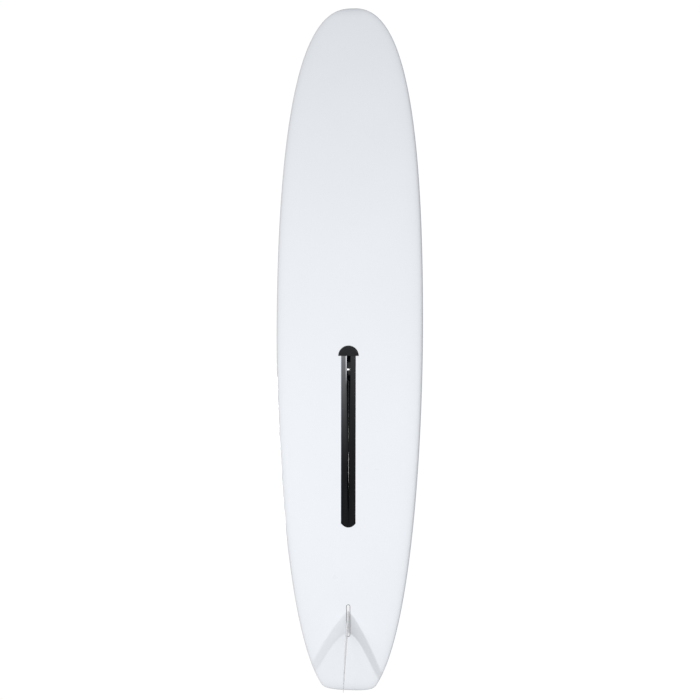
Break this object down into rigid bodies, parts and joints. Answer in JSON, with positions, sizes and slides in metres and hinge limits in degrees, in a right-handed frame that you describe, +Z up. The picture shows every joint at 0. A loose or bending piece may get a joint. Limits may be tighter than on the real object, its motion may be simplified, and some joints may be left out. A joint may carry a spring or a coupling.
{
  "type": "stand up paddleboard",
  "caption": "Rigid paddleboard with a flat bottom and rounded rails, a pivoting daggerboard behind a slot gasket, a bolt-through tail fin, a mast track, deck pads and a carry handle.",
  "frame": {"origin": "bottom centre of the bounding box: level with the fin tip, on the middle line, halfway between the nose and the tail", "axes": "+Y to the nose, +X to starboard, +Z up through the deck"},
  "size_m": [0.746, 3.505, 0.4673],
  "materials": {
    "gelcoat": "gloss",
    "foam": "matte",
    "plywood": "satin",
    "black_plastic": "matte",
    "gasket": "satin",
    "blade": "gloss",
    "rubber": "matte",
    "fin_white": "gloss",
    "stainless": "satin",
    "brass": "satin",
    "eva": "matte",
    "eva_dark": "matte"
  },
  "bodies": {
    "board": {"bottom_shell": "gelcoat", "deck_shell": "gelcoat", "core_port": "foam", "core_starboard": "foam", "stringer_front": "plywood", "stringer_rear": "plywood", "stringer_tail": "plywood", "deck_pad_port": "eva", "deck_pad_starboard": "eva", "deck_pad_rear": "eva", "tail_pad": "eva_dark", "tail_kick": "eva_dark", "dagger_case": "black_plastic", "gasket_lip_port": "gasket", "gasket_lip_starboard": "gasket", "gasket_nose_cap": "black_plastic", "pivot_pin": "stainless", "friction_pad_port": "rubber", "friction_pad_starboard": "rubber", "tip_bumper": "rubber", "dagger_bezel": "black_plastic", "bezel_screw_port_front": "stainless", "bezel_screw_port_rear": "stainless", "bezel_screw_starboard_front": "stainless", "bezel_screw_starboard_rear": "stainless", "handle_cup": "black_plastic", "handle_bar": "rubber", "mast_track": "black_plastic", "vent_body": "black_plastic", "vent_cap": "black_plastic", "vent_o_ring": "rubber", "nose_tow_plug": "black_plastic", "nose_tow_pin": "stainless", "leash_plug": "black_plastic", "leash_pin": "stainless", "fin": "fin_white", "fin_nut": "brass", "fin_box": "gelcoat", "fin_bolt_sleeve": "black_plastic", "fin_bolt_washer": "stainless", "fin_bolt": "stainless"},
    "daggerboard": {"dagger_blade": "blade", "dagger_head": "black_plastic", "lever_pad": "rubber", "blade_edge_screw": "stainless", "head_screw_1": "stainless", "head_screw_2": "stainless", "head_screw_3": "stainless", "pivot_bush_port": "brass", "pivot_bush_starboard": "brass"},
    "mast_nut": {"mast_track_nut": "brass"}
  },
  "joints": [
    {"name": "dagger_pivot", "type": "hinge", "parent": "board", "child": "daggerboard", "pos_m": [0, -0.115, 0.31733], "axis": [1, 0, 0], "range_deg": [0, 85], "deforming": ["gasket_lip_port", "gasket_lip_starboard"]},
    {"name": "mast_nut_slide", "type": "slide", "parent": "board", "child": "mast_nut", "axis": [0, 0.9995, 0.0329], "range_m": [-0.09, 0.09]}
  ]
}
